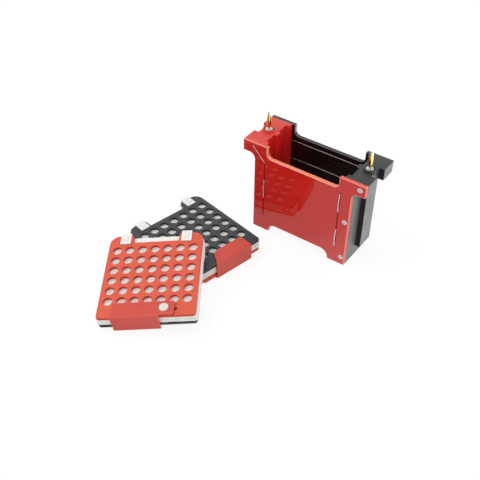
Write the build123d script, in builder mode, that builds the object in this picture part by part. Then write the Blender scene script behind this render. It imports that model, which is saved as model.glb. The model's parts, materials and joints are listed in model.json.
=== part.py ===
from build123d import *
import os

os.makedirs("parts", exist_ok=True)

# ---------------------------------------------------------------- placement
# The middle of the electrode module's base in the shared frame.
module_x = 39.4783
module_y = 108.1787

# ---------------------------------------------------------------- module
height = 108.0
half_depth = 28.5
plate = 4.5
body_half = 57.6
ear_half = 72.0
ear_bottom = 94.8
cut_half = 42.2
cut_z = 95.0
foot_half = 37.3
foot_z = 9.9
inner_y = half_depth - plate

# end blocks: guide ribs, cassette channels and the outer column
rib_x = 47.1
channel_x = 50.2
rib_half = 3.7
channel_y = 18.5
notch_x = 66.7
notch_half = 8.5
column_x = 63.5
column_low = -14.9
column_high = 6.4
column_z = 12.5

# electrode wire
wire_r = 0.4
wire_x = 44.7
wire_rows = [88.8, 66.2, 43.6, 21.0]
wire_hole_r = 0.8
lead_z = 104.6
plug_x = 59.6

# banana plugs
collar_r = 6.7
collar_h = 2.0
stem_r = 2.5
plug_r = 2.0
plug_top = 129.5

# panel screws, seen from outside the panel: across and up
screw_spots = [("top", 65.2, 102.0), ("middle", 53.0, 56.0), ("low", 53.2, 9.2)]
head_r = 3.1
screw_r = 1.5

# ---------------------------------------------------------------- cassettes
pitch = 13.06
hole_r = 4.7
columns = 7
rows = 6
sheet = 3.1
stack = 14.5
cas_half = 48.3
cas_low = -52.6
cas_notch = 42.5
cas_high = 52.4
notch_w = 23.9
tab_r = 10.0
foam_half = 49.7
foam_low = -52.2
foam_high = {"rear": 41.6, "front": 51.4}
foam_r = {"rear": 3.0, "front": 10.0}
foam_gap = 0.05

hinge_y = 54.7
hinge_x = 31.65
knuckle_r = 2.1
hinge_pin_r = 0.9
leaf_half = 5.35
leaf_t = 1.5

latch_t = 2.3
latch_gap = 0.3
latch_left = -33.65
latch_right = 27.85
web_right = 12.85
pivot_x = 17.85
pivot_y = -44.4
pivot_r = 2.0
rivet_r = 4.7
rivet_top = 3.4
seat_depth = 1.0


def save(builder, name):
    """Labels one finished piece and writes its own STEP file."""
    builder.part.label = name
    export_step(builder.part, "parts/" + name + ".step")


# ================================================================ module
def level(side, z):
    """Plan view of one half of the module at a height, turned half a turn for side -1."""
    return Plane(origin=(module_x, module_y, z), x_dir=(side, 0, 0), z_dir=(0, 0, 1))


def face(side, depth):
    """Elevation of one half's panel, looking at its outer face, sunk by a depth."""
    y = module_y - side * (half_depth - depth)
    return Plane(origin=(module_x, y, 0), x_dir=(side, 0, 0), z_dir=(0, -side, 0))


def spot(side, depth, x, z):
    """A plane on a panel whose origin is at one spot of it."""
    y = module_y - side * (half_depth - depth)
    origin = (module_x + side * x, y, z)
    return Plane(origin=origin, x_dir=(side, 0, 0), z_dir=(0, -side, 0))


def corners_at(sketch, across, up):
    """The sketch's two corners at a distance either side of its middle and at a height."""
    found = []
    for corner in sketch.vertices():
        if abs(abs(corner.X) - across) < 0.1 and abs(corner.Y - up) < 0.1:
            found.append(corner)
    return found


def make_panel(side, name):
    """The electrode panel: ears, foot cut-out, screw seats, wire holes and grooves."""
    outline = [
        (-body_half, 0),
        (-foot_half, 0),
        (-foot_half, foot_z),
        (foot_half, foot_z),
        (foot_half, 0),
        (body_half, 0),
        (body_half, ear_bottom),
        (ear_half, ear_bottom),
        (ear_half, height),
        (cut_half, height),
        (cut_half, cut_z),
        (-cut_half, cut_z),
        (-cut_half, height),
        (-ear_half, height),
        (-ear_half, ear_bottom),
        (-body_half, ear_bottom),
    ]
    with BuildPart() as panel:
        with BuildSketch(face(side, 0)) as outer:
            Polygon(*outline, align=None)
            fillet(corners_at(outer, body_half, ear_bottom), 7.0)
            fillet(corners_at(outer, cut_half, cut_z), 5.5)
            fillet(corners_at(outer, foot_half, foot_z), 9.0)
        extrude(amount=-plate)
        # countersunk seats for the screws into the other half's end block
        for tag, x, z in screw_spots:
            with BuildSketch(spot(side, 0, x, z)):
                Circle(head_r + 0.15)
            with BuildSketch(spot(side, 2.0, x, z)):
                Circle(screw_r + 0.15)
            loft(mode=Mode.SUBTRACT)
            with BuildSketch(spot(side, 0, x, z)):
                Circle(screw_r + 0.15)
            extrude(amount=-plate, mode=Mode.SUBTRACT)
        # the wire's holes at both ends of every row, and the one from the plug
        for z in wire_rows:
            for x in (-wire_x, wire_x):
                with BuildSketch(spot(side, 0, x, z)):
                    Circle(wire_hole_r)
                extrude(amount=-plate, mode=Mode.SUBTRACT)
        with BuildSketch(spot(side, 0, -plug_x, lead_z)):
            Circle(wire_hole_r)
        extrude(amount=-plate, mode=Mode.SUBTRACT)
        # upright grooves that the wire's outer runs lie in
        groove_mid = (wire_rows[0] + wire_rows[-1]) / 2
        groove_long = wire_rows[0] - wire_rows[-1] + 3.0
        for x in (-wire_x, wire_x):
            with BuildSketch(spot(side, 0, x, groove_mid)):
                Rectangle(1.6, groove_long)
            extrude(amount=-0.9, mode=Mode.SUBTRACT)
    save(panel, name)


def make_end_block(side, name):
    """The end block at the left of its own panel: ribs, ear, outer column and plug seat."""
    inner = [
        (-body_half, -inner_y),
        (-rib_x + 1.6, -inner_y),
        (-rib_x, -channel_y - 1.2),
        (-rib_x, -channel_y),
        (-channel_x, -channel_y),
        (-channel_x, -rib_half),
        (-rib_x, -rib_half),
        (-rib_x, rib_half),
        (-channel_x, rib_half),
        (-channel_x, channel_y),
        (-rib_x, channel_y),
        (-rib_x, channel_y + 1.2),
        (-rib_x + 1.6, inner_y),
        (-body_half, inner_y),
    ]
    ear = [
        (-body_half, -inner_y),
        (-ear_half, -inner_y),
        (-ear_half, -notch_half),
        (-notch_x, -notch_half),
        (-notch_x, notch_half),
        (-ear_half, notch_half),
        (-ear_half, inner_y),
        (-body_half, inner_y),
    ]
    with BuildPart() as block:
        with BuildSketch(level(side, 0)):
            Polygon(*inner, align=None)
        extrude(amount=height)
        # the ear that rests on the tank's rim
        with BuildSketch(level(side, ear_bottom)):
            Polygon(*ear, align=None)
        extrude(amount=height - ear_bottom)
        # the outer column below the ear
        column = [
            (-body_half, column_low),
            (-column_x, column_low),
            (-column_x, column_high),
            (-body_half, column_high),
        ]
        with BuildSketch(level(side, column_z)):
            Polygon(*column, align=None)
        extrude(amount=ear_bottom - column_z)
        # the round collar of the banana plug
        plug_plane = Plane(
            origin=(module_x - side * plug_x, module_y, height),
            x_dir=(side, 0, 0),
            z_dir=(0, 0, 1),
        )
        with BuildSketch(plug_plane):
            Circle(collar_r)
        extrude(amount=collar_h)
        with BuildSketch(plug_plane):
            Circle(collar_r - 1.6)
        extrude(amount=collar_h, mode=Mode.SUBTRACT)
        with BuildSketch(plug_plane):
            Circle(stem_r + 0.05)
        extrude(amount=-16.0, mode=Mode.SUBTRACT)
        # the channel that leads the wire from the plug to the panel
        with BuildSketch(spot(side, plate, -plug_x, lead_z)):
            Circle(wire_hole_r)
        extrude(amount=-inner_y, mode=Mode.SUBTRACT)
        # tapped holes for the other half's panel screws
        for tag, x, z in screw_spots:
            with BuildSketch(spot(-side, plate, x, z)):
                Circle(screw_r + 0.05)
            extrude(amount=-10.5, mode=Mode.SUBTRACT)
    save(block, name)


def make_screws(side, name):
    """Three nylon countersunk screws with a hexagon socket."""
    for tag, x, z in screw_spots:
        with BuildPart() as screw:
            with BuildSketch(spot(side, 0.3, x, z)):
                Circle(head_r - 0.15)
            with BuildSketch(spot(side, 2.0, x, z)):
                Circle(screw_r)
            loft()
            with BuildSketch(spot(side, 1.9, x, z)):
                Circle(screw_r)
            extrude(amount=-12.5)
            with BuildSketch(spot(side, 0.3, x, z)):
                RegularPolygon(radius=1.2, side_count=6)
            extrude(amount=-1.1, mode=Mode.SUBTRACT)
        save(screw, name + "_" + tag)


def make_wire(side, name):
    """One platinum wire, laced through the panel in four rows."""

    def at(x, depth, z):
        """A point on the half's panel; depth runs inward from the outer face."""
        return (module_x + side * x, module_y - side * (half_depth - depth), z)

    out = 0.35
    sunk = plate + 0.6
    points = [
        at(-plug_x, half_depth - stem_r - 0.1, lead_z),
        at(-plug_x, -0.45, lead_z),
        at(-wire_x, -0.45, wire_rows[0]),
        at(-wire_x, sunk, wire_rows[0]),
        at(wire_x, sunk, wire_rows[0]),
        at(wire_x, out, wire_rows[0]),
        at(wire_x, out, wire_rows[1]),
        at(wire_x, sunk, wire_rows[1]),
        at(-wire_x, sunk, wire_rows[1]),
        at(-wire_x, out, wire_rows[1]),
        at(-wire_x, out, wire_rows[2]),
        at(-wire_x, sunk, wire_rows[2]),
        at(wire_x, sunk, wire_rows[2]),
        at(wire_x, out, wire_rows[2]),
        at(wire_x, out, wire_rows[3]),
        at(wire_x, sunk, wire_rows[3]),
        at(-wire_x, sunk, wire_rows[3]),
        at(-wire_x, 0.3, wire_rows[3]),
    ]
    with BuildPart() as wire:
        with BuildLine() as path:
            FilletPolyline(*points, radius=0.55)
        start = path.line @ 0
        with BuildSketch(Plane(origin=start, z_dir=path.line % 0)):
            Circle(wire_r)
        sweep(path=path.line)
    save(wire, name)


def make_plug(side, name):
    """A 4 mm banana plug: threaded stem with its pin, slotted spring sleeve and nut."""
    centre_x = module_x - side * plug_x

    def ring(z):
        return Plane(origin=(centre_x, module_y, z), x_dir=(side, 0, 0), z_dir=(0, 0, 1))

    with BuildPart() as pin:
        with BuildSketch(ring(height - 15.5)):
            Circle(stem_r)
        extrude(amount=17.5)
        with BuildSketch(ring(height + 1.9)):
            Circle(1.45)
        extrude(amount=17.0)
        with BuildSketch(ring(height + 18.5)):
            Circle(1.9)
        with BuildSketch(ring(plug_top)):
            Circle(1.0)
        loft()
    save(pin, name + "_pin")

    sleeve_low = height + 4.2
    sleeve_high = height + 18.4
    with BuildPart() as sleeve:
        with BuildSketch(ring(sleeve_low)):
            Circle(plug_r)
            Circle(1.55, mode=Mode.SUBTRACT)
        extrude(amount=sleeve_high - sleeve_low)
        # narrow slots leave the springy bars of the sleeve
        for k in range(4):
            turned = ring(sleeve_low + 1.2).rotated((0, 0, 22.5 + 45.0 * k))
            with BuildSketch(turned):
                Rectangle(6.0, 0.3)
            extrude(amount=sleeve_high - sleeve_low - 2.4, mode=Mode.SUBTRACT)
    save(sleeve, name + "_spring")

    with BuildPart() as nut:
        with BuildSketch(ring(height)):
            RegularPolygon(radius=4.4, side_count=6)
            Circle(stem_r + 0.05, mode=Mode.SUBTRACT)
        extrude(amount=1.9)
    save(nut, name + "_nut")


# ================================================================ cassettes
# In a cassette's own frame X runs along the hinge, Y from the latch to the hinge,
# and Z out of the red sheet, whose outer face is at zero.
def off(frame, z):
    """The cassette's plane at a height above the red sheet's outer face."""
    return frame.offset(z)


def spot_on(frame, x, y, z):
    """The cassette's plane at a height with its origin moved to one spot."""
    origin = frame.from_local_coords((x, y, z))
    return Plane(origin=origin, x_dir=frame.x_dir, z_dir=frame.z_dir)


def across(frame, x):
    """A plane square to the hinge: its X is the cassette's Y, its Y the cassette's Z."""
    origin = frame.from_local_coords((x, 0, 0))
    return Plane(origin=origin, x_dir=frame.y_dir, z_dir=frame.x_dir)


def hole_spots():
    """The centres of the sheet's round holes."""
    spots = []
    for i in range(columns):
        for j in range(rows):
            x = (i - (columns - 1) / 2) * pitch
            y = ((rows - 1) / 2 - j) * pitch
            spots.append((x, y))
    return spots


def make_sheet(frame, name, top, with_pivot):
    """One perforated sheet with two hinge tabs."""
    outline = [
        (-cas_half, cas_low),
        (cas_half, cas_low),
        (cas_half, cas_high),
        (notch_w, cas_high),
        (notch_w, cas_notch),
        (-notch_w, cas_notch),
        (-notch_w, cas_high),
        (-cas_half, cas_high),
    ]
    with BuildPart() as plate_part:
        with BuildSketch(off(frame, top)) as sketch:
            Polygon(*outline, align=None)
            fillet(corners_at(sketch, cas_half, cas_high), tab_r)
            fillet(corners_at(sketch, cas_half, cas_low), 3.0)
            fillet(corners_at(sketch, notch_w, cas_high), 2.5)
            fillet(corners_at(sketch, notch_w, cas_notch), 1.5)
        extrude(amount=-sheet)
        with BuildSketch(off(frame, top)):
            for x, y in hole_spots():
                with Locations((x, y)):
                    Circle(hole_r)
        extrude(amount=-sheet, mode=Mode.SUBTRACT)
        for x in (-hinge_x, hinge_x):
            with BuildSketch(spot_on(frame, x, 46.5, top)):
                Circle(1.3)
            extrude(amount=-sheet, mode=Mode.SUBTRACT)
        if with_pivot:
            with BuildSketch(spot_on(frame, pivot_x, pivot_y, top)):
                Circle(pivot_r)
            extrude(amount=-sheet, mode=Mode.SUBTRACT)
            with BuildSketch(spot_on(frame, 28.9, -45.1, top)):
                Circle(1.8)
            extrude(amount=-sheet, mode=Mode.SUBTRACT)
    save(plate_part, name)


def make_foam(frame, name, top, thick, high, corner_r):
    """One foam pad, a little wider than the sheets, up to the hinge or to the notch."""
    outline = [
        (-foam_half, foam_low),
        (foam_half, foam_low),
        (foam_half, high),
        (-foam_half, high),
    ]
    with BuildPart() as pad:
        with BuildSketch(off(frame, top)) as sketch:
            Polygon(*outline, align=None)
            fillet(corners_at(sketch, foam_half, high), corner_r)
            fillet(corners_at(sketch, foam_half, foam_low), 4.0)
        extrude(amount=-thick)
    save(pad, name)


def make_hinge(frame, prefix, tag, x):
    """Two leaves with interleaved knuckles on one pin."""
    axis_z = -stack / 2
    plane = across(frame, x)
    # each leaf: pad on the sheet, wall over the edge, knuckles on the axis
    for colour, sign in (("red", 1), ("black", -1)):
        face_z = 0.0 if sign > 0 else -stack
        pad_top = face_z + sign * leaf_t
        wall_end = axis_z + sign * 2.45
        profile = [
            (40.6, face_z),
            (52.7, face_z),
            (52.7, wall_end),
            (54.2, wall_end),
            (54.2, pad_top),
            (40.6, pad_top),
        ]
        if sign > 0:
            spans = [(-2.0, 2.0)]
        else:
            spans = [(-leaf_half, -2.3), (2.3, leaf_half)]
        with BuildPart() as leaf:
            with BuildSketch(plane.offset(-leaf_half)):
                Polygon(*profile, align=None)
            extrude(amount=2 * leaf_half)
            for low, high in spans:
                with BuildSketch(plane.offset(low)):
                    with Locations((hinge_y, axis_z)):
                        Circle(knuckle_r)
                    low_z = min(wall_end, axis_z)
                    with Locations((53.45, low_z + 1.3)):
                        Rectangle(1.5, 2.7)
                extrude(amount=high - low)
            with BuildSketch(plane.offset(-leaf_half)):
                with Locations((hinge_y, axis_z)):
                    Circle(hinge_pin_r + 0.05)
            extrude(amount=2 * leaf_half, mode=Mode.SUBTRACT)
            # square seat and hole of the stud that holds the leaf
            with BuildSketch(spot_on(frame, x, 46.5, face_z)):
                Circle(1.3)
            extrude(amount=sign * leaf_t, mode=Mode.SUBTRACT)
            with BuildSketch(spot_on(frame, x, 46.5, pad_top)):
                Rectangle(5.0, 5.0)
            extrude(amount=-sign * 0.6, mode=Mode.SUBTRACT)
        save(leaf, prefix + "_" + colour + "_leaf_" + tag)

        with BuildPart() as stud:
            with BuildSketch(spot_on(frame, x, 46.5, pad_top - sign * 0.6)):
                Rectangle(4.8, 4.8)
            extrude(amount=sign * 0.8)
            with BuildSketch(spot_on(frame, x, 46.5, pad_top - sign * 0.6)):
                Circle(1.25)
            extrude(amount=-sign * (leaf_t - 0.6 + sheet - 0.1))
        save(stud, prefix + "_" + colour + "_stud_" + tag)

    with BuildPart() as hinge_pin:
        with BuildSketch(plane.offset(-leaf_half)):
            with Locations((hinge_y, axis_z)):
                Circle(hinge_pin_r)
        extrude(amount=2 * leaf_half)
    save(hinge_pin, prefix + "_hinge_pin_" + tag)


def make_latch(frame, prefix):
    """The swinging channel that clamps both sheets, and the rivet it turns on."""
    web_out = -55.4
    web_in = web_out + 2.5
    red_low = latch_gap
    black_high = -stack - latch_gap
    red_flange = [
        (latch_left, web_out),
        (web_right, web_out),
        (web_right + 1.2, cas_low + 0.3),
        (latch_right, cas_low + 0.3),
        (latch_right, -36.9),
        (latch_left, -36.9),
    ]
    black_flange = [
        (latch_left, web_out),
        (web_right, web_out),
        (4.6, -39.6),
        (-2.6, -38.0),
        (latch_left, -38.0),
    ]
    with BuildPart() as latch:
        with BuildSketch(off(frame, red_low)) as red_sketch:
            Polygon(*red_flange, align=None)
            ends = []
            for corner in red_sketch.vertices():
                if corner.Y > -37.5 or corner.X > latch_right - 0.1:
                    ends.append(corner)
            fillet(ends, 1.6)
        extrude(amount=latch_t)
        with BuildSketch(off(frame, black_high)) as black_sketch:
            Polygon(*black_flange, align=None)
            bends = []
            for corner in black_sketch.vertices():
                if corner.Y > -40.5 and corner.X > -10:
                    bends.append(corner)
            fillet(bends, 3.0)
        extrude(amount=-latch_t)
        web_mid = (latch_left + web_right) / 2
        with BuildSketch(spot_on(frame, web_mid, (web_out + web_in) / 2, black_high - latch_t)):
            Rectangle(web_right - latch_left, web_in - web_out)
        extrude(amount=stack + 2 * latch_gap + 2 * latch_t)
        # round the two long folds
        folds = []
        for edge in latch.edges():
            middle = frame.to_local_coords(edge @ 0.5)
            long_enough = edge.length > 40
            on_web = abs(middle.Y - web_out) < 0.05
            if long_enough and on_web:
                folds.append(edge)
        fillet(folds, 1.0)
        with BuildSketch(spot_on(frame, pivot_x, pivot_y, red_low)):
            Circle(pivot_r + 0.05)
        extrude(amount=latch_t, mode=Mode.SUBTRACT)
        with BuildSketch(spot_on(frame, pivot_x, pivot_y, red_low + latch_t)):
            Circle(rivet_r + 0.3)
        extrude(amount=-seat_depth, mode=Mode.SUBTRACT)
    save(latch, prefix + "_latch")

    # the head sits a little above the floor of its seat
    head_low = latch_gap + latch_t - seat_depth + 0.3
    with BuildPart() as rivet:
        with BuildSketch(spot_on(frame, pivot_x, pivot_y, -sheet)):
            Circle(pivot_r)
        extrude(amount=sheet + head_low + 0.1)
        with BuildSketch(spot_on(frame, pivot_x, pivot_y, head_low)):
            Circle(rivet_r)
        extrude(amount=rivet_top - head_low)
        rim = []
        for edge in rivet.edges():
            middle = frame.to_local_coords(edge @ 0.5)
            if abs(middle.Z - rivet_top) < 0.05:
                rim.append(edge)
        fillet(rim, 0.9)
    save(rivet, prefix + "_latch_rivet")


def make_cassette(prefix, frame):
    """A whole gel cassette: two sheets, two foam pads, two hinges, latch and rivet."""
    foam = (stack - 2 * sheet) / 2
    make_sheet(frame, prefix + "_red_sheet", 0.0, True)
    make_sheet(frame, prefix + "_black_sheet", -stack + sheet, False)
    thick = foam - 2 * foam_gap
    tops = {"red": -sheet - foam_gap, "black": -sheet - foam - foam_gap}
    for colour, top in tops.items():
        name = prefix + "_foam_" + colour + "_side"
        make_foam(frame, name, top, thick, foam_high[prefix], foam_r[prefix])
    make_hinge(frame, prefix, "left", -hinge_x)
    make_hinge(frame, prefix, "right", hinge_x)
    make_latch(frame, prefix)


# ================================================================ build
make_panel(1, "red_panel")
make_panel(-1, "black_panel")
make_end_block(1, "red_end_block")
make_end_block(-1, "black_end_block")
make_screws(1, "red_screw")
make_screws(-1, "black_screw")
make_wire(1, "anode_wire")
make_wire(-1, "cathode_wire")
make_plug(1, "anode_plug")
make_plug(-1, "cathode_plug")

# The rear cassette lies on the bench with its black sheet up; it leans a little
# because it stands on the rivet's head and the hinge leaves.
rear_frame = Plane(
    origin=(module_x - 87.28, module_y - 97.44, 2.74),
    x_dir=(-0.22059, -0.97537, 0.0),
    z_dir=(0.0168, -0.0038, -0.99985),
)
# The front cassette lies with its red sheet up, one side resting on the rear one.
front_frame = Plane(
    origin=(module_x - 76.75, module_y - 177.56, 27.95),
    x_dir=(0.83871, 0.52792, 0.13362),
    z_dir=(-0.05003, -0.16964, 0.98424),
)
make_cassette("rear", rear_frame)
make_cassette("front", front_frame)
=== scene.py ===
import json
import math

import bpy
from mathutils import Matrix, Vector, noise


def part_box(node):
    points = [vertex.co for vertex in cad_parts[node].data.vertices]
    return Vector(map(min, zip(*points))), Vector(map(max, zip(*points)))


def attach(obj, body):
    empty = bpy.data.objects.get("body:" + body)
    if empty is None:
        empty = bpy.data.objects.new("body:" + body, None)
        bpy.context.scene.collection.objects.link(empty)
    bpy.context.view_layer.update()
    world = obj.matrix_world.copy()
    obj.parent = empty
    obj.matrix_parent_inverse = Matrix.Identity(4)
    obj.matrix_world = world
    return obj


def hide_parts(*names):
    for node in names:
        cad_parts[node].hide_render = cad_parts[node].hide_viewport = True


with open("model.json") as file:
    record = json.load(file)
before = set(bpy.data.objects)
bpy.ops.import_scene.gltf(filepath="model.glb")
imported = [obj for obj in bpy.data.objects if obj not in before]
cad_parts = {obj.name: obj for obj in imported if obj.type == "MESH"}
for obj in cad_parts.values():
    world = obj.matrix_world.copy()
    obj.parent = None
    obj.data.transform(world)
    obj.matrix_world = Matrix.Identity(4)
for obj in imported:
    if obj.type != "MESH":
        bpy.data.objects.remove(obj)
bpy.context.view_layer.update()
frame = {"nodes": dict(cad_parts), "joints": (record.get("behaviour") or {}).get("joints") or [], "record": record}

MM = 0.001

# ---------------------------------------------------------------- places
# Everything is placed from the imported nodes, in metres.
red_low, red_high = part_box("red_panel")
black_low, black_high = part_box("black_panel")
MODULE = Vector(((red_low.x + red_high.x) / 2, (red_low.y + black_high.y) / 2, 0.0))
HALF_DEPTH = (black_high.y - red_low.y) / 2
PANEL = red_high.y - red_low.y

# the electrode wires: radius, half length of a row, heights of the rows
WIRE_R = 0.4 * MM
WIRE_X = 44.7 * MM
WIRE_ROWS = [88.8 * MM, 66.2 * MM, 43.6 * MM, 21.0 * MM]
LEAD_Z = 104.6 * MM
PLUG_X = 59.6 * MM

# half widths of the module's body and of its panels' top cut-out
BODY_X = 57.6 * MM
CUT_X = 42.2 * MM

# edges sharper than this are rounded, with a share of the width at small details
SHARP = math.radians(32.0)
FINE_SHARE = 0.2

# the cassettes: hinge line, stack and the holes of the sheets
HINGE_Y = 54.7 * MM
STACK = 14.5 * MM
SHEET = 3.1 * MM
HOLE_PITCH = 13.06 * MM
HOLE_R = 4.7 * MM
HOLE_COLUMNS = 7
HOLE_ROWS = 6
PIVOT = Vector((17.85, -44.4, 0.0)) * MM
HEAD_R = 4.7 * MM
HEAD_LOW = 1.9 * MM
HEAD_TOP = 3.4 * MM
SHANK_R = 2.0 * MM


def joint(name):
    """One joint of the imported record."""
    return next(j for j in frame["joints"] if j["name"] == name)


def middle(name):
    low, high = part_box(name)
    return (low + high) / 2


def cassette_frame(prefix):
    """A cassette's own axes: X along the hinge, Y from latch to hinge, Z out of the red sheet."""
    left = middle(prefix + "_hinge_pin_left")
    right = middle(prefix + "_hinge_pin_right")
    out = Vector(joint(prefix + "_latch_swing")["axis"]).normalized()
    along = (right - left).normalized()
    across = out.cross(along).normalized()
    origin = (left + right) / 2 - across * HINGE_Y + out * (STACK / 2)
    turn = Matrix((along, across, out)).transposed().to_4x4()
    return Matrix.Translation(origin) @ turn


# the screws' middles, which are also their seats' across and up
SEATS = [middle(node) for node in frame["nodes"] if "_screw_" in node]
CASSETTES = {"front": cassette_frame("front"), "rear": cassette_frame("rear")}


# ================================================================ camera
def make_camera():
    """Looks down on the module from its front right."""
    yaw = math.radians(35.018)
    pitch = math.radians(41.131)
    roll = math.radians(0.679)
    distance = 877.29 * MM
    aside = -77.79 * MM
    raised = -10.70 * MM
    back = Vector(
        (math.sin(yaw) * math.cos(pitch), -math.cos(yaw) * math.cos(pitch), math.sin(pitch))
    )
    level = Vector((math.cos(yaw), math.sin(yaw), 0.0))
    upright = back.cross(level)
    right = level * math.cos(roll) + upright * math.sin(roll)
    up = upright * math.cos(roll) - level * math.sin(roll)
    data = bpy.data.cameras.new("camera")
    data.sensor_width = 36.0
    data.lens = 59.62
    data.clip_start = 0.05
    data.clip_end = 20.0
    camera = bpy.data.objects.new("camera", data)
    bpy.context.scene.collection.objects.link(camera)
    place = MODULE + back * distance + right * aside + up * raised
    turn = Matrix((right, up, back)).transposed().to_4x4()
    camera.matrix_world = Matrix.Translation(place) @ turn
    bpy.context.scene.camera = camera


# ================================================================ shader groups
def shade(tree, kind, inputs=None, **settings):
    """Adds one shader node, with its settings and its inputs' values or links."""
    made = tree.nodes.new(kind)
    for key, value in settings.items():
        setattr(made, key, value)
    for key, value in (inputs or {}).items():
        if isinstance(value, bpy.types.NodeSocket):
            tree.links.new(value, made.inputs[key])
        else:
            made.inputs[key].default_value = value
    return made


def new_group(name, inputs, outputs):
    """A shader node group with named inputs (name, kind, value) and outputs (name, kind)."""
    tree = bpy.data.node_groups.new(name, "ShaderNodeTree")
    for label, kind, value in inputs:
        socket = tree.interface.new_socket(label, in_out="INPUT", socket_type=kind)
        socket.default_value = value
    for label, kind in outputs:
        tree.interface.new_socket(label, in_out="OUTPUT", socket_type=kind)
    return tree, tree.nodes.new("NodeGroupInput"), tree.nodes.new("NodeGroupOutput")


def maths(tree, operation, a, b=0.0):
    """A Math node's result."""
    return shade(tree, "ShaderNodeMath", {0: a, 1: b}, operation=operation).outputs[0]


def blend_colours(tree, factor, a, b, kind="MIX"):
    """A colour Mix node's result."""
    made = shade(tree, "ShaderNodeMix", data_type="RGBA", blend_type=kind)
    for socket, value in ((made.inputs[0], factor), (made.inputs[6], a), (made.inputs[7], b)):
        if isinstance(value, bpy.types.NodeSocket):
            tree.links.new(value, socket)
        else:
            socket.default_value = value
    return made.outputs[2]


def spread(tree, value, low, high, to_low, to_high):
    """A Map Range node's result."""
    inputs = {"Value": value, "From Min": low, "From Max": high, "To Min": to_low, "To Max": to_high}
    return shade(tree, "ShaderNodeMapRange", inputs).outputs[0]


COLOUR = "NodeSocketColor"
FLOAT = "NodeSocketFloat"


def build_skin_group():
    """Moulded plastic: slow clouding of the colour, fine grain, uneven gloss."""
    tree, given, result = new_group(
        "moulded_skin",
        [
            ("Color", COLOUR, (0.5, 0.5, 0.5, 1.0)),
            ("Deep Color", COLOUR, (0.4, 0.4, 0.4, 1.0)),
            ("Cloud Scale", FLOAT, 40.0),
            ("Grain Scale", FLOAT, 1800.0),
            ("Gloss Low", FLOAT, 0.3),
            ("Gloss High", FLOAT, 0.5),
        ],
        [("Color", COLOUR), ("Roughness", FLOAT), ("Height", FLOAT)],
    )
    place = shade(tree, "ShaderNodeTexCoord").outputs["Object"]
    cloud = shade(
        tree,
        "ShaderNodeTexNoise",
        {"Vector": place, "Scale": given.outputs["Cloud Scale"], "Detail": 4.0},
    ).outputs[0]
    grain = shade(
        tree,
        "ShaderNodeTexNoise",
        {"Vector": place, "Scale": given.outputs["Grain Scale"], "Detail": 3.0},
    ).outputs[0]
    share = spread(tree, cloud, 0.3, 0.7, 0.0, 1.0)
    colour = blend_colours(tree, share, given.outputs["Color"], given.outputs["Deep Color"])
    uneven = maths(tree, "ADD", maths(tree, "MULTIPLY", cloud, 0.6), maths(tree, "MULTIPLY", grain, 0.4))
    rough = shade(
        tree,
        "ShaderNodeMapRange",
        {
            "Value": uneven,
            "From Min": 0.35,
            "From Max": 0.65,
            "To Min": given.outputs["Gloss Low"],
            "To Max": given.outputs["Gloss High"],
        },
    ).outputs[0]
    tree.links.new(colour, result.inputs["Color"])
    tree.links.new(rough, result.inputs["Roughness"])
    tree.links.new(grain, result.inputs["Height"])
    return tree


def build_dust_group():
    """Sparse pale specks and lint that lie on smooth plastic."""
    tree, given, result = new_group(
        "dust",
        [
            ("Color", COLOUR, (0.1, 0.1, 0.1, 1.0)),
            ("Dust Color", COLOUR, (0.5, 0.5, 0.48, 1.0)),
            ("Speck Scale", FLOAT, 260.0),
            ("Speck Size", FLOAT, 0.07),
        ],
        [("Color", COLOUR)],
    )
    place = shade(tree, "ShaderNodeTexCoord").outputs["Object"]
    cells = shade(
        tree, "ShaderNodeTexVoronoi", {"Vector": place, "Scale": given.outputs["Speck Scale"]}
    )
    near = maths(tree, "LESS_THAN", cells.outputs["Distance"], given.outputs["Speck Size"])
    patches = shade(tree, "ShaderNodeTexNoise", {"Vector": place, "Scale": 70.0}).outputs[0]
    here = maths(tree, "GREATER_THAN", patches, 0.52)
    mask = maths(tree, "MULTIPLY", near, here)
    colour = blend_colours(tree, mask, given.outputs["Color"], given.outputs["Dust Color"])
    tree.links.new(colour, result.inputs["Color"])
    return tree


def build_scuff_group():
    """Long fine scratches from handling, which dull the gloss where they run."""
    tree, given, result = new_group(
        "scuffs",
        [("Roughness", FLOAT, 0.1), ("Scuffed Roughness", FLOAT, 0.3), ("Scale", FLOAT, 60.0)],
        [("Roughness", FLOAT)],
    )
    place = shade(tree, "ShaderNodeTexCoord").outputs["Object"]
    drawn = shade(
        tree,
        "ShaderNodeMapping",
        {"Vector": place, "Rotation": (0.35, 0.9, 0.5), "Scale": (1.0, 14.0, 14.0)},
    ).outputs[0]
    lines = shade(
        tree,
        "ShaderNodeTexNoise",
        {"Vector": drawn, "Scale": given.outputs["Scale"], "Detail": 5.0, "Roughness": 0.7},
    ).outputs[0]
    mask = spread(tree, lines, 0.6, 0.72, 0.0, 1.0)
    rough = shade(
        tree,
        "ShaderNodeMapRange",
        {
            "Value": mask,
            "To Min": given.outputs["Roughness"],
            "To Max": given.outputs["Scuffed Roughness"],
        },
    ).outputs[0]
    tree.links.new(rough, result.inputs["Roughness"])
    return tree


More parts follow.
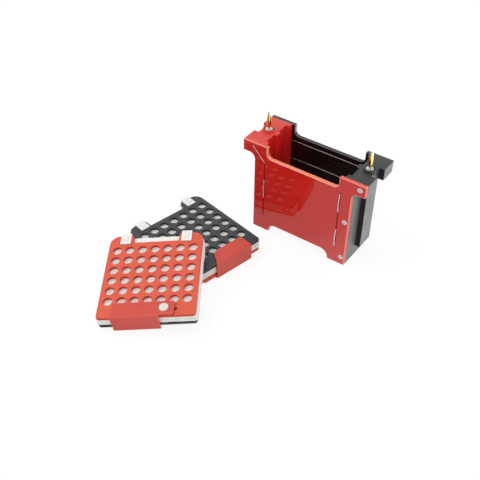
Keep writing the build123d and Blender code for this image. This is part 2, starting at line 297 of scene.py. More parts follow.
def build_painted_sides_group():
    """A sheet's narrow sides, and the walls of its holes, in another colour than its faces: painted shade on a
    cassette sheet's hole walls, painted light on an acrylic panel's sides.
    """
    tree, given, result = new_group(
        "sheet_sides_painted_light_and_shade",
        [
            ("Face Color", COLOUR, (0.5, 0.0, 0.0, 1.0)),
            ("Painted Side Color", COLOUR, (0.7, 0.1, 0.05, 1.0)),
            ("Axis", "NodeSocketVector", (0.0, 1.0, 0.0)),
        ],
        [("Color", COLOUR)],
    )
    facing = shade(tree, "ShaderNodeTexCoord").outputs["Normal"]
    turned = shade(
        tree, "ShaderNodeVectorMath", {0: facing, 1: given.outputs["Axis"]}, operation="DOT_PRODUCT"
    )
    flat = maths(tree, "ABSOLUTE", turned.outputs["Value"])
    mask = spread(tree, flat, 0.35, 0.9, 1.0, 0.0)
    colour = blend_colours(tree, mask, given.outputs["Face Color"], given.outputs["Painted Side Color"])
    tree.links.new(colour, result.inputs["Color"])
    return tree


def build_glow_group():
    """Light that comes out of the acrylic's polished side in the top cut-out."""
    tree, given, result = new_group(
        "cut_out_glow",
        [("Color", COLOUR, (0.7, 0.1, 0.05, 1.0)), ("Glow Color", COLOUR, (0.8, 0.2, 0.1, 1.0))],
        [("Color", COLOUR)],
    )
    place = shade(tree, "ShaderNodeTexCoord").outputs["Object"]
    where = shade(tree, "ShaderNodeSeparateXYZ", {"Vector": place})
    aside = maths(tree, "ABSOLUTE", maths(tree, "SUBTRACT", where.outputs["X"], MODULE.x))
    in_cut = spread(tree, aside, CUT_X + 0.1 * MM, CUT_X + 0.4 * MM, 1.0, 0.0)
    up = spread(tree, where.outputs["Z"], 80.0 * MM, 90.0 * MM, 0.0, 1.0)
    share = maths(tree, "MULTIPLY", in_cut, up)
    colour = blend_colours(tree, share, given.outputs["Color"], given.outputs["Glow Color"])
    tree.links.new(colour, result.inputs["Color"])
    return tree


def build_foam_group():
    """Open-cell foam: round pores of a few tenths of a millimetre in thin walls, the pores darker as painted
    shade.
    """
    tree, given, result = new_group(
        "foam_cells",
        [
            ("Wall Color", COLOUR, (0.90, 0.90, 0.87, 1.0)),
            ("Pore Painted Shade Color", COLOUR, (0.74, 0.74, 0.71, 1.0)),
            ("Pore Scale", FLOAT, 1500.0),
        ],
        [("Color", COLOUR), ("Roughness", FLOAT), ("Height", FLOAT)],
    )
    place = shade(tree, "ShaderNodeTexCoord").outputs["Object"]
    cells = shade(
        tree, "ShaderNodeTexVoronoi", {"Vector": place, "Scale": given.outputs["Pore Scale"]}
    ).outputs["Distance"]
    cloud = shade(
        tree, "ShaderNodeTexNoise", {"Vector": place, "Scale": 220.0, "Detail": 4.0}
    ).outputs[0]
    wall = spread(tree, cells, 0.15, 0.6, 0.0, 1.0)
    height = maths(tree, "ADD", wall, maths(tree, "MULTIPLY", cloud, 0.8))
    share = maths(tree, "MULTIPLY", wall, spread(tree, cloud, 0.3, 0.6, 0.55, 1.0))
    # the pores get the darker colour, as painted shade
    colour = blend_colours(tree, share, given.outputs["Pore Painted Shade Color"], given.outputs["Wall Color"])
    rough = spread(tree, wall, 0.0, 1.0, 1.0, 0.8)
    tree.links.new(colour, result.inputs["Color"])
    tree.links.new(rough, result.inputs["Roughness"])
    tree.links.new(height, result.inputs["Height"])
    return tree


GROUPS = {
    "skin": build_skin_group(),
    "dust": build_dust_group(),
    "scuffs": build_scuff_group(),
    "painted_sides": build_painted_sides_group(),
    "glow": build_glow_group(),
    "foam": build_foam_group(),
}


def use_group(tree, name, inputs):
    """Places a shader group in a material."""
    made = shade(tree, "ShaderNodeGroup", node_tree=GROUPS[name])
    for key, value in inputs.items():
        if isinstance(value, bpy.types.NodeSocket):
            tree.links.new(value, made.inputs[key])
        else:
            made.inputs[key].default_value = value
    return made.outputs


# ================================================================ materials
def rgb(red, green, blue):
    return (red, green, blue, 1.0)


def new_material(name):
    """An empty material with its Principled shader."""
    made = bpy.data.materials.new(name)
    made.use_nodes = True
    return made, made.node_tree, made.node_tree.nodes["Principled BSDF"]


def link_bump(tree, surface, height, strength, depth):
    bump = shade(tree, "ShaderNodeBump", {"Height": height, "Strength": strength, "Distance": depth})
    tree.links.new(bump.outputs[0], surface.inputs["Normal"])


def moulded(name, colour, deep, gloss, grain=0.35, dust=None, painted_sides=None, axis=(0, 0, 1), shine=0.5):
    """Satin moulded plastic, with dust on the dark ones and painted shade on the walls and sides of a holed sheet.
    """
    made, tree, surface = new_material(name)
    skin = use_group(
        tree,
        "skin",
        {
            "Color": colour,
            "Deep Color": deep,
            "Gloss Low": gloss[0],
            "Gloss High": gloss[1],
        },
    )
    colour_out = skin["Color"]
    # a holed sheet's hole walls and narrow sides get a darker colour, as painted shade
    if painted_sides:
        painted_walls = {"Face Color": colour_out, "Painted Side Color": painted_sides, "Axis": axis}
        colour_out = use_group(tree, "painted_sides", painted_walls)["Color"]
    if dust:
        colour_out = use_group(tree, "dust", {"Color": colour_out, "Dust Color": dust})["Color"]
    scuffs = use_group(
        tree,
        "scuffs",
        {"Roughness": skin["Roughness"], "Scuffed Roughness": min(1.0, gloss[1] + 0.12)},
    )
    tree.links.new(colour_out, surface.inputs["Base Color"])
    tree.links.new(scuffs["Roughness"], surface.inputs["Roughness"])
    link_bump(tree, surface, skin["Height"], grain, 0.05 * MM)
    surface.inputs["IOR"].default_value = 1.5
    surface.inputs["Specular IOR Level"].default_value = shine
    return made


def acrylic(name, face_colour, painted_side_colour, glow_colour, dust_colour):
    """Polished acrylic sheet: mirror-smooth faces, glowing sides painted in a lighter colour, a few scratches and
    specks.
    """
    made, tree, surface = new_material(name)
    # the sides' lighter colour and the glow in the top cut-out are painted light
    side = use_group(tree, "glow", {"Color": painted_side_colour, "Glow Color": glow_colour})["Color"]
    painted_sides = use_group(tree, "painted_sides", {"Face Color": face_colour, "Painted Side Color": side})
    dust = use_group(
        tree,
        "dust",
        {"Color": painted_sides["Color"], "Dust Color": dust_colour, "Speck Scale": 150.0, "Speck Size": 0.045},
    )
    scuffs = use_group(
        tree, "scuffs", {"Roughness": 0.05, "Scuffed Roughness": 0.09, "Scale": 35.0}
    )
    tree.links.new(dust["Color"], surface.inputs["Base Color"])
    tree.links.new(scuffs["Roughness"], surface.inputs["Roughness"])
    surface.inputs["IOR"].default_value = 1.49
    return made


def metal(name, colour, tarnish, gloss, scale=900.0):
    """Plated or drawn metal with fine uneven polish."""
    made, tree, surface = new_material(name)
    place = shade(tree, "ShaderNodeTexCoord").outputs["Object"]
    polish = shade(
        tree, "ShaderNodeTexNoise", {"Vector": place, "Scale": scale, "Detail": 3.0}
    ).outputs[0]
    share = spread(tree, polish, 0.35, 0.75, 0.0, 1.0)
    tree.links.new(blend_colours(tree, share, colour, tarnish), surface.inputs["Base Color"])
    tree.links.new(spread(tree, polish, 0.3, 0.7, gloss[0], gloss[1]), surface.inputs["Roughness"])
    link_bump(tree, surface, polish, 0.15, 0.02 * MM)
    surface.inputs["Metallic"].default_value = 1.0
    return made


def make_foam_material():
    made, tree, surface = new_material("open_cell_foam")
    cells = use_group(tree, "foam", {})
    tree.links.new(cells["Color"], surface.inputs["Base Color"])
    tree.links.new(cells["Roughness"], surface.inputs["Roughness"])
    link_bump(tree, surface, cells["Height"], 0.45, 0.15 * MM)
    surface.inputs["Specular IOR Level"].default_value = 0.25
    return made


MATERIALS = {
    # the acrylics' second and third colours are painted light: lighter sides, and a glow in the top cut-out
    "red_acrylic": acrylic(
        "red_acrylic",
        rgb(0.52, 0.014, 0.008),
        rgb(0.72, 0.070, 0.042),
        rgb(0.84, 0.20, 0.07),
        rgb(0.75, 0.3, 0.28),
    ),
    # painted highlight: a lighter colour on the red panel's rounded edges
    "red_acrylic_rim": moulded(
        "red_acrylic_rim", rgb(0.92, 0.36, 0.30), rgb(0.88, 0.30, 0.24), (0.1, 0.2), grain=0.05
    ),
    "red_acrylic_groove": moulded(
        "red_acrylic_groove", rgb(0.42, 0.016, 0.010), rgb(0.36, 0.012, 0.008), (0.4, 0.5), shine=0.2
    ),
    "black_acrylic_groove": moulded(
        "black_acrylic_groove", rgb(0.010, 0.010, 0.012), rgb(0.008, 0.008, 0.009), (0.4, 0.5)
    ),
    # painted light: a lighter red on the red panel's narrow sides
    "red_acrylic_side_painted_light": moulded(
        "red_acrylic_side_painted_light",
        rgb(0.74, 0.10, 0.06),
        rgb(0.70, 0.08, 0.05),
        (0.3, 0.4),
        grain=0.05,
        shine=0.15,
    ),
    "black_acrylic": acrylic(
        "black_acrylic",
        rgb(0.006, 0.006, 0.007),
        rgb(0.030, 0.033, 0.036),
        rgb(0.020, 0.022, 0.024),
        rgb(0.12, 0.12, 0.12),
    ),
    # painted highlight: a lighter colour on the black panel's rounded edges
    "black_acrylic_rim": moulded(
        "black_acrylic_rim", rgb(0.06, 0.065, 0.07), rgb(0.04, 0.045, 0.05), (0.1, 0.2), grain=0.05
    ),
    "red_block": moulded(
        "red_block", rgb(0.66, 0.052, 0.034), rgb(0.60, 0.040, 0.026), (0.36, 0.5)
    ),
    # a brighter, purer copy of the block's red, painted light inside the chamber
    "red_block_inside_painted_light": moulded(
        "red_block_inside_painted_light", rgb(0.82, 0.014, 0.012), rgb(0.76, 0.012, 0.010), (0.3, 0.42), shine=0.3
    ),
    # a darker, duller copy of the black block, painted shade on its front-facing steps
    "black_block_front_painted_shade": moulded(
        "black_block_front_painted_shade", rgb(0.020, 0.021, 0.023), rgb(0.016, 0.017, 0.019), (0.5, 0.6), shine=0.12
    ),
    # a paler copy of the black block, painted sheen on its side
    "black_block_side_painted_sheen": moulded(
        "black_block_side_painted_sheen", rgb(0.105, 0.108, 0.110), rgb(0.095, 0.098, 0.100), (0.5, 0.6)
    ),
    "black_block": moulded(
        "black_block",
        rgb(0.026, 0.027, 0.029),
        rgb(0.021, 0.022, 0.024),
        (0.36, 0.48),
        dust=rgb(0.25, 0.25, 0.24),
    ),
    "red_latch": moulded(
        "red_latch", rgb(0.62, 0.062, 0.034), rgb(0.56, 0.050, 0.028), (0.28, 0.4)
    ),
    # painted highlight: a lighter colour on the latch's rounded edges
    "red_latch_rim": moulded(
        "red_latch_rim", rgb(0.76, 0.15, 0.09), rgb(0.70, 0.12, 0.07), (0.25, 0.35), grain=0.1
    ),
    "white_leaf": moulded(
        "white_leaf", rgb(0.80, 0.80, 0.82), rgb(0.76, 0.76, 0.77), (0.3, 0.45)
    ),
    "ivory_stud": moulded(
        "ivory_stud", rgb(0.81, 0.79, 0.72), rgb(0.77, 0.74, 0.65), (0.35, 0.5)
    ),
    "ivory_rivet": moulded(
        "ivory_rivet", rgb(0.76, 0.71, 0.65), rgb(0.72, 0.66, 0.59), (0.3, 0.45)
    ),
    "lilac_nylon": moulded(
        "lilac_nylon", rgb(0.74, 0.60, 0.68), rgb(0.66, 0.50, 0.58), (0.3, 0.45)
    ),
    "platinum": metal("platinum", rgb(0.72, 0.62, 0.72), rgb(0.58, 0.50, 0.58), (0.3, 0.45)),
    # a darker, duller copy of the platinum, painted shade for the cathode wire
    "platinum_painted_shade": metal(
        "platinum_painted_shade", rgb(0.40, 0.37, 0.33), rgb(0.26, 0.24, 0.21), (0.4, 0.55)
    ),
    "nickel": metal("nickel", rgb(0.70, 0.69, 0.63), rgb(0.45, 0.44, 0.40), (0.12, 0.28)),
    "gold": metal("gold", rgb(0.90, 0.62, 0.18), rgb(0.62, 0.33, 0.07), (0.12, 0.25)),
    "foam": make_foam_material(),
}
for prefix, place in CASSETTES.items():
    square = place.to_3x3().col[2]
    # each sheet's darker side colour is painted shade on its hole walls and narrow sides
    MATERIALS[prefix + "_red_sheet"] = moulded(
        prefix + "_red_sheet",
        rgb(0.70, 0.088, 0.036),
        rgb(0.65, 0.076, 0.030),
        (0.38, 0.5),
        painted_sides=rgb(0.54, 0.030, 0.012),
        axis=square,
    )
    MATERIALS[prefix + "_black_sheet"] = moulded(
        prefix + "_black_sheet",
        rgb(0.034, 0.036, 0.041),
        rgb(0.028, 0.030, 0.035),
        (0.4, 0.52),
        dust=rgb(0.22, 0.22, 0.22),
        painted_sides=rgb(0.010, 0.011, 0.013),
        axis=square,
    )


# ================================================================ modelling helpers
def only(piece):
    """Selects one object and nothing else."""
    bpy.ops.object.select_all(action="DESELECT")
    piece.select_set(True)
    bpy.context.view_layer.objects.active = piece


def edit(piece):
    only(piece)
    bpy.ops.object.mode_set(mode="EDIT")


def leave():
    bpy.ops.object.mode_set(mode="OBJECT")


def apply(piece, kind, **settings):
    """Adds a modifier and applies it."""
    only(piece)
    modifier = piece.modifiers.new("finish", kind)
    for key, value in settings.items():
        setattr(modifier, key, value)
    bpy.ops.object.modifier_apply(modifier=modifier.name)


def settle(piece, matrix):
    """Moves a piece into place in its mesh, so that its object stays at the origin."""
    piece.data.transform(matrix @ piece.matrix_world)
    piece.matrix_world = Matrix.Identity(4)


def dress(piece, material):
    piece.data.materials.clear()
    piece.data.materials.append(MATERIALS[material])


def smooth(piece, angle):
    only(piece)
    bpy.ops.object.shade_smooth_by_angle(angle=math.radians(angle))


def body_of(node):
    return next(name for name, group in frame["record"]["behaviour"]["bodies"].items() if node in group)


def stand_for(piece, node):
    """The piece, in the finish it already has, rides on the node's body and stands for it."""
    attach(piece, body_of(node))
    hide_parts(node)


def weigh_edges(piece, fine):
    """Marks the sharp edges for the bevel, with a small share of its width where a test says fine."""
    facing = {}
    for face in piece.data.polygons:
        for key in face.edge_keys:
            facing.setdefault(key, []).append(face.normal)
    weights = piece.data.attributes.new("bevel_weight_edge", "FLOAT", "EDGE")
    for edge in piece.data.edges:
        normals = facing.get(edge.key, [])
        if len(normals) != 2 or normals[0].angle(normals[1]) < SHARP:
            continue
        a, b = (piece.data.vertices[v].co for v in edge.vertices)
        weights.data[edge.index].value = FINE_SHARE if fine and fine((a + b) / 2) else 1.0


def rounded(node, width, material, segments=2, rim=None, fine=None, cuts=()):
    """A merged copy of a CAD node with its sharp edges rounded; cuts along X split its holed faces."""
    piece = bpy.data.objects.new(node + "_finished", frame["nodes"][node].data.copy())
    bpy.context.scene.collection.objects.link(piece)
    edit(piece)
    bpy.ops.mesh.select_all(action="SELECT")
    bpy.ops.mesh.remove_doubles(threshold=0.002 * MM)
    bpy.ops.mesh.dissolve_limited(angle_limit=math.radians(0.4))
    for x in cuts:
        bpy.ops.mesh.select_all(action="SELECT")
        bpy.ops.mesh.bisect(plane_co=(x, 0, 0), plane_no=(1, 0, 0))
    leave()
    dress(piece, material)
    # the rim material, a painted highlight, goes on the faces that the bevel makes
    if rim:
        piece.data.materials.append(MATERIALS[rim])
    weigh_edges(piece, fine)
    apply(
        piece,
        "BEVEL",
        material=1 if rim else -1,
        width=width,
        segments=segments,
        limit_method="WEIGHT",
        use_clamp_overlap=False,
        miter_outer="MITER_ARC",
    )
    apply(piece, "TRIANGULATE", min_vertices=5)
    smooth(piece, 50.0)
    apply(piece, "WEIGHTED_NORMAL", keep_sharp=True)
    stand_for(piece, node)
    return piece


# ================================================================ electrode module
def finish_faces(piece, material, wanted):
    """Gives the faces that a test picks another finish."""
    piece.data.materials.append(MATERIALS[material])
    last = len(piece.data.materials) - 1
    for face in piece.data.polygons:
        if wanted(face):
            face.material_index = last


def by_wire_or_screw(spot):
    """Whether a spot of a panel is by a wire groove, a wire hole or a screw seat."""
    reach = 2.0 * MM
    past_row = 2.5 * MM
    seat_reach = 4.5 * MM
    aside = abs(spot.x - MODULE.x)
    in_rows = WIRE_ROWS[-1] - past_row < spot.z < WIRE_ROWS[0] + past_row
    if abs(aside - WIRE_X) < reach and in_rows:
        return True
    if abs(aside - PLUG_X) < reach and abs(spot.z - LEAD_Z) < reach:
        return True
    return any(math.hypot(spot.x - seat.x, spot.z - seat.z) < seat_reach for seat in SEATS)


def make_panel(half):
    """A panel with a painted highlight on its rounded rims, except at its grooves, holes and screw seats."""
    finish = half + "_acrylic"
    side = 1 if half == "red" else -1
    holes = {MODULE.x - WIRE_X, MODULE.x + WIRE_X, MODULE.x - side * PLUG_X}
    holes.update(middle(half + "_screw_" + place).x for place in ("top", "middle"))
    panel = rounded(
        half + "_panel",
        0.7 * MM,
        finish,
        rim=finish + "_rim",
        fine=by_wire_or_screw,
        cuts=sorted(holes),
    )
    outer_face = MODULE.y - side * HALF_DEPTH
    # the grooves, holes and screw seats keep the panel's own colour, without the painted highlight
    for face in panel.data.polygons:
        if by_wire_or_screw(face.center):
            face.material_index = 0
    finish_faces(
        panel,
        finish + "_groove",
        lambda face: by_wire_or_screw(face.center) and abs(face.center.y - outer_face) > 0.05 * MM,
    )
    return panel


def finish_end_blocks():
    """Rounded end blocks, with light and shade painted in: a brighter, purer red inside the chamber as painted
    light, darker and duller black steps as painted shade, and paler black sides as a painted sheen.
    """
    red_block = rounded("red_end_block", 0.4 * MM, "red_block")
    # painted light on the chamber's inner walls
    finish_faces(
        red_block,
        "red_block_inside_painted_light",
        lambda face: face.normal.x > 0.3 and abs(face.normal.z) < 0.3 and face.center.x < MODULE.x,
    )
    black_block = rounded("black_end_block", 0.4 * MM, "black_block")
    # painted shade on the faces that look to the front
    finish_faces(black_block, "black_block_front_painted_shade", lambda face: face.normal.y < -0.9)
    # painted sheen on the block's side that faces +X
    side = MODULE.x + BODY_X
    finish_faces(
        black_block,
        "black_block_side_painted_sheen",
        lambda face: face.normal.x > 0.9 and abs(face.center.x - side) < 0.3 * MM,
    )


def make_module():
    """Panels and end blocks with their edges rounded, and their screws and nuts."""
    make_panel("black")
    past_grooves = WIRE_X + 3.0 * MM
    # the red panel's narrow sides beyond the grooves get painted light
    finish_faces(
        make_panel("red"),
        "red_acrylic_side_painted_light",
        lambda face: abs(face.normal.x) > 0.5
        and abs(face.normal.z) < 0.3
        and abs(face.center.x - MODULE.x) > past_grooves,
    )
    finish_end_blocks()
    for half in ("red", "black"):
        for place in ("top", "middle", "low"):
            rounded(half + "_screw_" + place, 0.15 * MM, "lilac_nylon")
    for pole in ("anode", "cathode"):
        rounded(pole + "_plug_nut", 0.2 * MM, "nickel")
        rounded(pole + "_plug_pin", 0.15 * MM, "nickel")


def make_wire(side, node, material):
    """A platinum wire laced through its panel, with slack bows on the outside."""
    inside = HALF_DEPTH - PANEL - 0.6 * MM
    proud = HALF_DEPTH + 0.45 * MM
    plug_depth = 2.6 * MM
    end_depth = HALF_DEPTH - 0.3 * MM
    turn_in = 1.1 * MM
    turn_share = 0.35
    bow = 0.7 * MM
    close = 0.01 * MM

    def at(x, depth, z):
        return Vector((MODULE.x + side * x, MODULE.y - side * depth, z))

    corners = [
        at(-PLUG_X, plug_depth, LEAD_Z),
        at(-PLUG_X, proud, LEAD_Z),
        at(-WIRE_X, proud, WIRE_ROWS[0]),
    ]
    x = -WIRE_X
    for k, z in enumerate(WIRE_ROWS):
        corners += [at(x, inside, z), at(-x, inside, z)]
        if k + 1 < len(WIRE_ROWS):
            corners += [at(-x, proud, z), at(-x, proud, WIRE_ROWS[k + 1])]
        x = -x
    corners.append(at(x, end_depth, WIRE_ROWS[-1]))

    route = [corners[0]]
    for start, end in zip(corners, corners[1:]):
        run = end - start
        step = run.normalized() * min(turn_in, run.length * turn_share)
        outside = abs(abs(start.y - MODULE.y) - proud) < close
        upright = outside and abs(run.x) < close and abs(run.z) > turn_in
        route.append(start + step)
        if upright:
            route.append((start + end) / 2 + Vector((-side * bow, 0, 0)))
        route.append(end - step)
        route.append(end)

    curve = bpy.data.curves.new(node + "_line", "CURVE")
    curve.dimensions = "3D"
    curve.resolution_u = 6
    curve.bevel_depth = WIRE_R
    curve.bevel_resolution = 3
    curve.use_fill_caps = True
    spline = curve.splines.new("NURBS")
    spline.points.add(len(route) - 1)
    for point, place in zip(spline.points, route):
        point.co = (place.x, place.y, place.z, 1.0)
    spline.order_u = 3
    spline.use_endpoint_u = True
    drawn = bpy.data.objects.new(node + "_drawn", curve)
    bpy.context.scene.collection.objects.link(drawn)
    bpy.context.view_layer.update()
    mesh = bpy.data.meshes.new_from_object(drawn.evaluated_get(bpy.context.evaluated_depsgraph_get()))
    bpy.data.objects.remove(drawn)
    wire = bpy.data.objects.new(node + "_laced", mesh)
    bpy.context.scene.collection.objects.link(wire)
    smooth(wire, 60.0)
    dress(wire, material)
    stand_for(wire, node)


def make_spring(node):
    """The plug's gold sleeve: eight springy bars that bulge between two plain rings."""
    low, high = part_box(node)
    centre = (low + high) / 2
    long = high.z - low.z
    radius = (high.x - low.x) / 2
    columns = 48
    rows = 20
    bars = 8
    bulge = 0.19
    bpy.ops.object.select_all(action="DESELECT")
    bpy.ops.mesh.primitive_cylinder_add(
        vertices=columns, radius=radius, depth=long, end_fill_type="NOTHING", location=centre
    )
    spring = bpy.context.active_object
    spring.name = node + "_barrel"
    settle(spring, Matrix.Identity(4))
    edit(spring)
    bpy.ops.mesh.select_all(action="DESELECT")
    leave()
    for edge in spring.data.edges:
        a, b = (spring.data.vertices[v].co for v in edge.vertices)
        edge.select = abs(a.z - b.z) > long / 2
    edit(spring)
    bpy.ops.mesh.subdivide(number_cuts=rows - 1)
    bpy.ops.mesh.select_all(action="DESELECT")
    leave()
    # one column in each bar's share is cut out, but for a plain ring at both ends
    per_bar = columns // bars
    ring = 1.3 * MM
    for face in spring.data.polygons:
        across = face.center - centre
        column = round((math.atan2(across.y, across.x) / math.tau) * columns - 0.5)
        between = low.z + ring < face.center.z < high.z - ring
        face.select = between and column % per_bar == 0
    edit(spring)
    bpy.ops.mesh.delete(type="FACE")
    leave()
    for vertex in spring.data.vertices:
        share = (vertex.co.z - low.z) / long
        swell = 1.0 + bulge * math.sin(math.pi * min(1.0, max(0.0, share))) ** 1.5
        vertex.co.x = centre.x + (vertex.co.x - centre.x) * swell
        vertex.co.y = centre.y + (vertex.co.y - centre.y) * swell
    apply(spring, "SOLIDIFY", thickness=0.32 * MM, offset=-1.0)
    apply(spring, "BEVEL", width=0.07 * MM, segments=2, limit_method="ANGLE")
    smooth(spring, 40.0)
    dress(spring, "gold")
    stand_for(spring, node)


# ================================================================ cassettes
def hole_share(x, y):
    """How far a spot of the foam lies into a hole, from 0 at the hole's rim to 1 further in."""
    column = min(HOLE_COLUMNS - 1, max(0, round(x / HOLE_PITCH + (HOLE_COLUMNS - 1) / 2)))
    row = min(HOLE_ROWS - 1, max(0, round((HOLE_ROWS - 1) / 2 - y / HOLE_PITCH)))
    dx = x - (column - (HOLE_COLUMNS - 1) / 2) * HOLE_PITCH
    dy = y - ((HOLE_ROWS - 1) / 2 - row) * HOLE_PITCH
    away = math.hypot(dx, dy) / HOLE_R
    slope = 0.3
    return min(1.0, max(0.0, (1.0 - away) / slope))


def make_foam(prefix, colour):
    """One foam pad: rough cut sides, rounded rims, a little sunk in the holes of its sheet."""
    node = prefix + "_foam_" + colour + "_side"
    place = CASSETTES[prefix]
    home = place.inverted()
    pad = bpy.data.objects.new(node + "_pad", frame["nodes"][node].data.copy())
    bpy.context.scene.collection.objects.link(pad)
    edit(pad)
    bpy.ops.mesh.select_all(action="SELECT")
    bpy.ops.mesh.remove_doubles(threshold=0.002 * MM)
    leave()
    settle(pad, home)
    corners = [v.co for v in pad.data.vertices]
    low = Vector([min(c[k] for c in corners) for k in range(3)])
    high = Vector([max(c[k] for c in corners) for k in range(3)])
    size = high - low
    centre = (high + low) / 2
    apply(pad, "REMESH", mode="VOXEL", voxel_size=0.8 * MM)
    outward = 1.0 if colour == "red" else -1.0
    # the noise is read at another height for each pad
    seed_z = 40.0 if colour == "red" else 90.0
    sunk = 0.35 * MM
    ragged = 0.34 * MM
    wander = 0.4 * MM
    uneven = 0.05 * MM
    # the pad is thinner at its cut rim, by this share
    rim_width = 2.5
    rim_pinch = 0.16
    for vertex in pad.data.vertices:
        point = vertex.co
        inset_x = (size.x / 2 - abs(point.x - centre.x)) / MM
        inset_y = (size.y / 2 - abs(point.y - centre.y)) / MM
        rim = max(0.0, 1.0 - min(inset_x, inset_y) / rim_width)
        if inset_x < inset_y:
            flank = Vector((math.copysign(1.0, point.x - centre.x), 0.0, 0.0))
        else:
            flank = Vector((0.0, math.copysign(1.0, point.y - centre.y), 0.0))
        seed = point / MM + Vector((0.0, 0.0, seed_z))
        fine = noise.noise(seed * 0.75) + 0.6 * noise.noise(seed * 1.7)
        slow = noise.noise(Vector((seed.x, seed.y, seed.z * 0.15)) * 0.11)
        shift = rim * (ragged * fine + wander * slow)
        outer_face = (point.z - centre.z) * outward > size.z * 0.4
        lift = 0.0
        if outer_face:
            lift = uneven * fine - sunk * hole_share(point.x, point.y)
        pinch = 1.0 - rim_pinch * rim * rim
        point.z = centre.z + (point.z - centre.z) * pinch + outward * lift
        vertex.co = point + flank * shift
    settle(pad, place)
    smooth(pad, 80.0)
    dress(pad, "foam")
    stand_for(pad, node)


def make_rivet(prefix):
    """The latch's rivet: a low domed head with a gate mark in its middle, on a plain shank."""
    node = prefix + "_latch_rivet"
    half_way = PIVOT + Vector((0, 0, (HEAD_LOW + HEAD_TOP) / 2))
    bpy.ops.object.select_all(action="DESELECT")
    bpy.ops.mesh.primitive_cylinder_add(
        vertices=64, radius=HEAD_R, depth=HEAD_TOP - HEAD_LOW, location=half_way
    )
    rivet = bpy.context.active_object
    rivet.name = node + "_domed"
    settle(rivet, Matrix.Identity(4))

    def pick(height):
        """Selects the face that looks up or down at a height."""
        edit(rivet)
        bpy.ops.mesh.select_all(action="DESELECT")
        leave()
        for face in rivet.data.polygons:
            level = all(abs(rivet.data.vertices[v].co.z - height) < 0.01 * MM for v in face.vertices)
            face.select = level and len(face.vertices) > 8
        edit(rivet)

    dome = 0.9 * MM
    mark_rings = [1.4 * MM, 1.2 * MM, 0.3 * MM]
    mark_depth = 0.3 * MM
    shank = SHEET + HEAD_LOW - 0.05 * MM
    pick(HEAD_LOW)
    bpy.ops.mesh.inset(thickness=HEAD_R - SHANK_R)
    bpy.ops.mesh.extrude_region_move(TRANSFORM_OT_translate={"value": (0, 0, -shank)})
    leave()
    pick(HEAD_TOP)
    bpy.ops.mesh.bevel(offset=dome, segments=6, affect="EDGES")
    leave()
    pick(HEAD_TOP)
    for width in mark_rings:
        bpy.ops.mesh.inset(thickness=width)
    bpy.ops.transform.translate(value=(0, 0, -mark_depth))
    leave()
    smooth(rivet, 40.0)
    settle(rivet, CASSETTES[prefix])
    dress(rivet, "ivory_rivet")
    stand_for(rivet, node)


def make_cassette(prefix):
    """Sheets, pads, hinges, latch and rivet of one cassette."""
    for colour in ("red", "black"):
        sheet = prefix + "_" + colour + "_sheet"
        rounded(sheet, 0.3 * MM, sheet)
        make_foam(prefix, colour)
        for hand in ("left", "right"):
            rounded(prefix + "_" + colour + "_leaf_" + hand, 0.22 * MM, "white_leaf")
            rounded(prefix + "_" + colour + "_stud_" + hand, 0.15 * MM, "ivory_stud")
    rounded(prefix + "_latch", 0.4 * MM, "red_latch", rim="red_latch_rim")
    make_rivet(prefix)
    for hand in ("left", "right"):
        pin = frame["nodes"][prefix + "_hinge_pin_" + hand]
        dress(pin, "nickel")


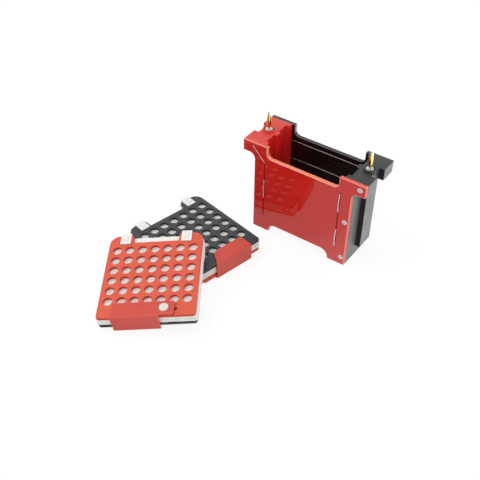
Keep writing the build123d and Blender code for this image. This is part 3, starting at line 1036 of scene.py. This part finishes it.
# ================================================================ studio
def make_floor():
    """A wide white floor that keeps a soft shadow."""
    bpy.ops.object.select_all(action="DESELECT")
    bpy.ops.mesh.primitive_plane_add(size=12.0, location=(0, 0, 0))
    floor = bpy.context.active_object
    floor.name = "floor"
    made, tree, surface = new_material("white_floor")
    surface.inputs["Base Color"].default_value = rgb(0.9, 0.9, 0.9)
    surface.inputs["Roughness"].default_value = 0.9
    surface.inputs["Specular IOR Level"].default_value = 0.0
    seen = shade(tree, "ShaderNodeLightPath")
    direct = maths(tree, "MAXIMUM", seen.outputs["Is Camera Ray"], seen.outputs["Is Glossy Ray"])
    share = maths(tree, "MULTIPLY", direct, 0.85)
    # in reflections the sweep is brighter towards its back right, where it curves up
    place = shade(tree, "ShaderNodeTexCoord").outputs["Object"]
    where = shade(tree, "ShaderNodeSeparateXYZ", {"Vector": place})
    along = maths(tree, "ADD", where.outputs["X"], maths(tree, "MULTIPLY", where.outputs["Y"], 0.5))
    bright_side = spread(tree, along, 0.07, 0.18, 0.0, 1.7)
    dim_side = spread(tree, along, -0.16, -0.07, -0.6, 0.0)
    uneven = maths(tree, "ADD", bright_side, dim_side)
    reflected = maths(tree, "MULTIPLY", uneven, seen.outputs["Is Glossy Ray"])
    strength = maths(tree, "ADD", reflected, 1.04)
    white = shade(tree, "ShaderNodeEmission", {"Color": rgb(1, 1, 1), "Strength": strength})
    both = shade(tree, "ShaderNodeMixShader", {0: share, 1: surface.outputs[0], 2: white.outputs[0]})
    out = tree.nodes["Material Output"]
    tree.links.new(both.outputs[0], out.inputs["Surface"])
    floor.data.materials.append(made)


def make_lamp(name, place, size, power):
    """A square softbox that points at the module."""
    data = bpy.data.lights.new(name, "AREA")
    data.shape = "SQUARE"
    data.size = size
    data.energy = power
    lamp = bpy.data.objects.new(name, data)
    lamp.location = place
    aim = Vector((0.0, 0.0, 0.05)) - Vector(place)
    lamp.rotation_mode = "QUATERNION"
    lamp.rotation_quaternion = aim.to_track_quat("-Z", "Y")
    bpy.context.scene.collection.objects.link(lamp)


def make_studio():
    make_floor()
    world = bpy.data.worlds.new("studio")
    bpy.context.scene.world = world
    world.use_nodes = True
    tree = world.node_tree
    seen = shade(tree, "ShaderNodeLightPath")
    direct = maths(tree, "MAXIMUM", seen.outputs["Is Camera Ray"], seen.outputs["Is Glossy Ray"])
    strength = spread(tree, direct, 0.0, 1.0, 0.85, 1.0)
    back = tree.nodes["Background"]
    back.inputs["Color"].default_value = rgb(1, 1, 1)
    tree.links.new(strength, back.inputs["Strength"])
    make_lamp("key_softbox", (-0.9, -0.5, 1.5), 0.9, 8.0)
    make_lamp("back_softbox", (0.6, 1.1, 1.2), 0.8, 3.0)


make_camera()
make_module()
make_wire(1, "anode_wire", "platinum")
# the cathode wire takes the darker platinum, as painted shade
make_wire(-1, "cathode_wire", "platinum_painted_shade")
make_spring("anode_plug_spring")
make_spring("cathode_plug_spring")
make_cassette("front")
make_cassette("rear")
make_studio()
bpy.context.scene.view_settings.view_transform = "Standard"
